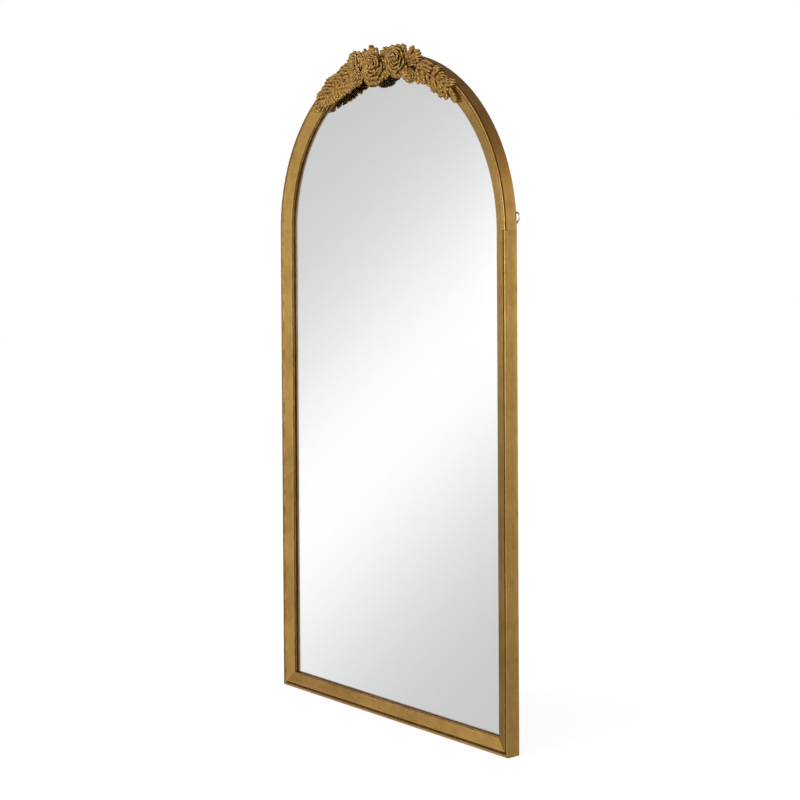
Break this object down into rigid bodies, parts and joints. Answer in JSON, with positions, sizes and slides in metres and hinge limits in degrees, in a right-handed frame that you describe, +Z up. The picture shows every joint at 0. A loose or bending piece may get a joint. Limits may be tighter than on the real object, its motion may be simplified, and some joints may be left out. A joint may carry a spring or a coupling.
{
  "type": "floor mirror",
  "caption": "Tall arched floor mirror in a gilded moulding with a carved crest of roses and leaves and two ring hangers on the back.",
  "frame": {"origin": "middle of the bottom face that stands on the floor, half way through the depth of the frame", "axes": "+X to the viewer's right, +Y to the back, +Z up; the glass faces -Y"},
  "size_m": [0.8968, 0.0725, 1.6955],
  "materials": {
    "gilt_moulding": "antique gold leaf over a red-brown ground, rubbed",
    "gilt_carving": "antique gold leaf with dark wax in the hollows",
    "bare_wood": "plain beech",
    "silvered_glass": "silvered float glass",
    "backing_board": "brown hardboard",
    "plated_steel": "nickel plated",
    "point_steel": "plain steel",
    "rubber_pad": "matt black"
  },
  "bodies": {
    "mirror": {"arch_crown": "gilt_moulding", "arch_left": "gilt_moulding", "arch_right": "gilt_moulding", "backing_board": "backing_board", "blossom_left": "gilt_carving", "bottom_rail": "gilt_moulding", "corner_spline_left": "bare_wood", "corner_spline_right": "bare_wood", "crest_screw_left": "plated_steel", "crest_screw_right": "plated_steel", "dowel_crown_left_1": "bare_wood", "dowel_crown_left_2": "bare_wood", "dowel_crown_right_1": "bare_wood", "dowel_crown_right_2": "bare_wood", "dowel_spring_left_1": "bare_wood", "dowel_spring_left_2": "bare_wood", "dowel_spring_right_1": "bare_wood", "dowel_spring_right_2": "bare_wood", "hanger_screw_left_1": "plated_steel", "hanger_screw_left_2": "plated_steel", "hanger_screw_right_1": "plated_steel", "hanger_screw_right_2": "plated_steel", "hanger_strap_left": "plated_steel", "hanger_strap_right": "plated_steel", "leaf_spray_left": "gilt_carving", "leaf_spray_right": "gilt_carving", "leaves_top_right": "gilt_carving", "mirror_pane": "silvered_glass", "retaining_point_01": "point_steel", "retaining_point_02": "point_steel", "retaining_point_03": "point_steel", "retaining_point_04": "point_steel", "retaining_point_05": "point_steel", "retaining_point_06": "point_steel", "retaining_point_07": "point_steel", "retaining_point_08": "point_steel", "retaining_point_09": "point_steel", "retaining_point_10": "point_steel", "retaining_point_11": "point_steel", "retaining_point_12": "point_steel", "retaining_point_13": "point_steel", "retaining_point_14": "point_steel", "retaining_point_15": "point_steel", "rose_large_left": "gilt_carving", "rose_large_right": "gilt_carving", "rose_small_left": "gilt_carving", "rose_small_right": "gilt_carving", "stile_left": "gilt_moulding", "stile_right": "gilt_moulding", "wall_pad_left": "rubber_pad", "wall_pad_right": "rubber_pad"},
    "ring_left": {"hanger_ring_left": "plated_steel"},
    "ring_right": {"hanger_ring_right": "plated_steel"}
  },
  "joints": [
    {"name": "ring_swing_left", "type": "hinge", "parent": "mirror", "child": "ring_left", "pos_m": [-0.429, 0.0234, 1.272], "axis": [1, 0, 0], "range_deg": [0, 180]},
    {"name": "ring_swing_right", "type": "hinge", "parent": "mirror", "child": "ring_right", "pos_m": [0.429, 0.0234, 1.272], "axis": [1, 0, 0], "range_deg": [0, 180]}
  ]
}
